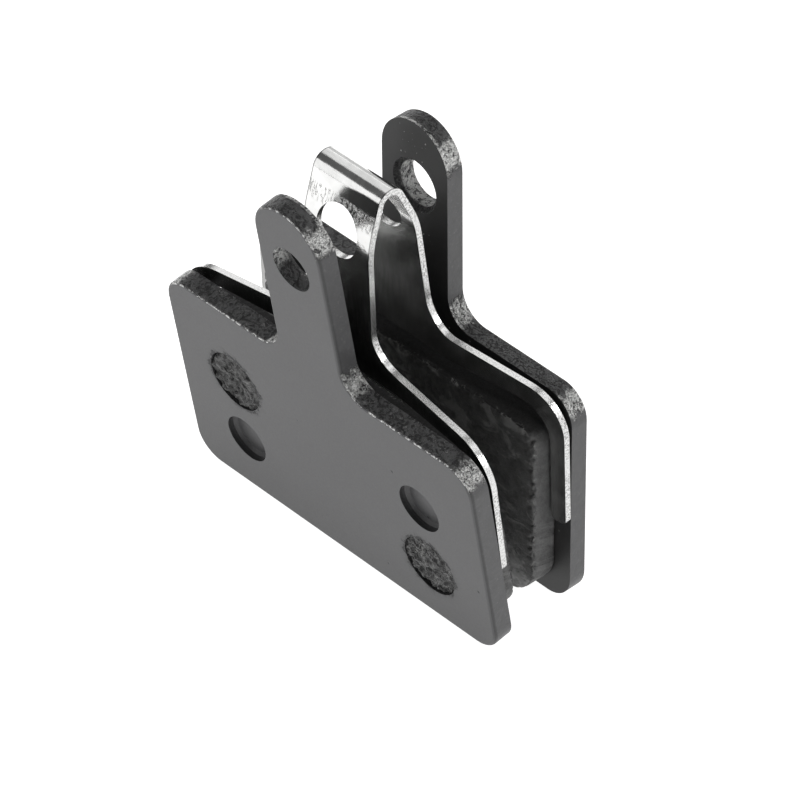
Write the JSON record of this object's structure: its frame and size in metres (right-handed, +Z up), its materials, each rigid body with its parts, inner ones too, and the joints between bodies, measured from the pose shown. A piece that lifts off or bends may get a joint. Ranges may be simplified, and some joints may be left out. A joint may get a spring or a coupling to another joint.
{
  "type": "bicycle disc brake pad",
  "caption": "Pair of stamped steel disc brake pads with bonded friction blocks, held apart by a folded sheet steel return spring.",
  "frame": {"origin": "on the ground under the lower edges of the backing plates, midway between the two pads", "axes": "+X along the plates' width, +Y from the outboard pad to the inboard pad, +Z up towards the ears and the fold of the spring"},
  "size_m": [0.0296, 0.0132, 0.032],
  "materials": {
    "coated_plate": "satin dark grey coating on stamped steel",
    "friction_compound": "matt, fine-grained moulded compound",
    "spring_steel": "bright rolled spring steel with sheared edges"
  },
  "bodies": {
    "root": {"outboard_backing_plate": "coated_plate", "inboard_backing_plate": "coated_plate", "outboard_friction_block": "friction_compound", "inboard_friction_block": "friction_compound", "return_spring": "spring_steel"}
  },
  "joints": []
}
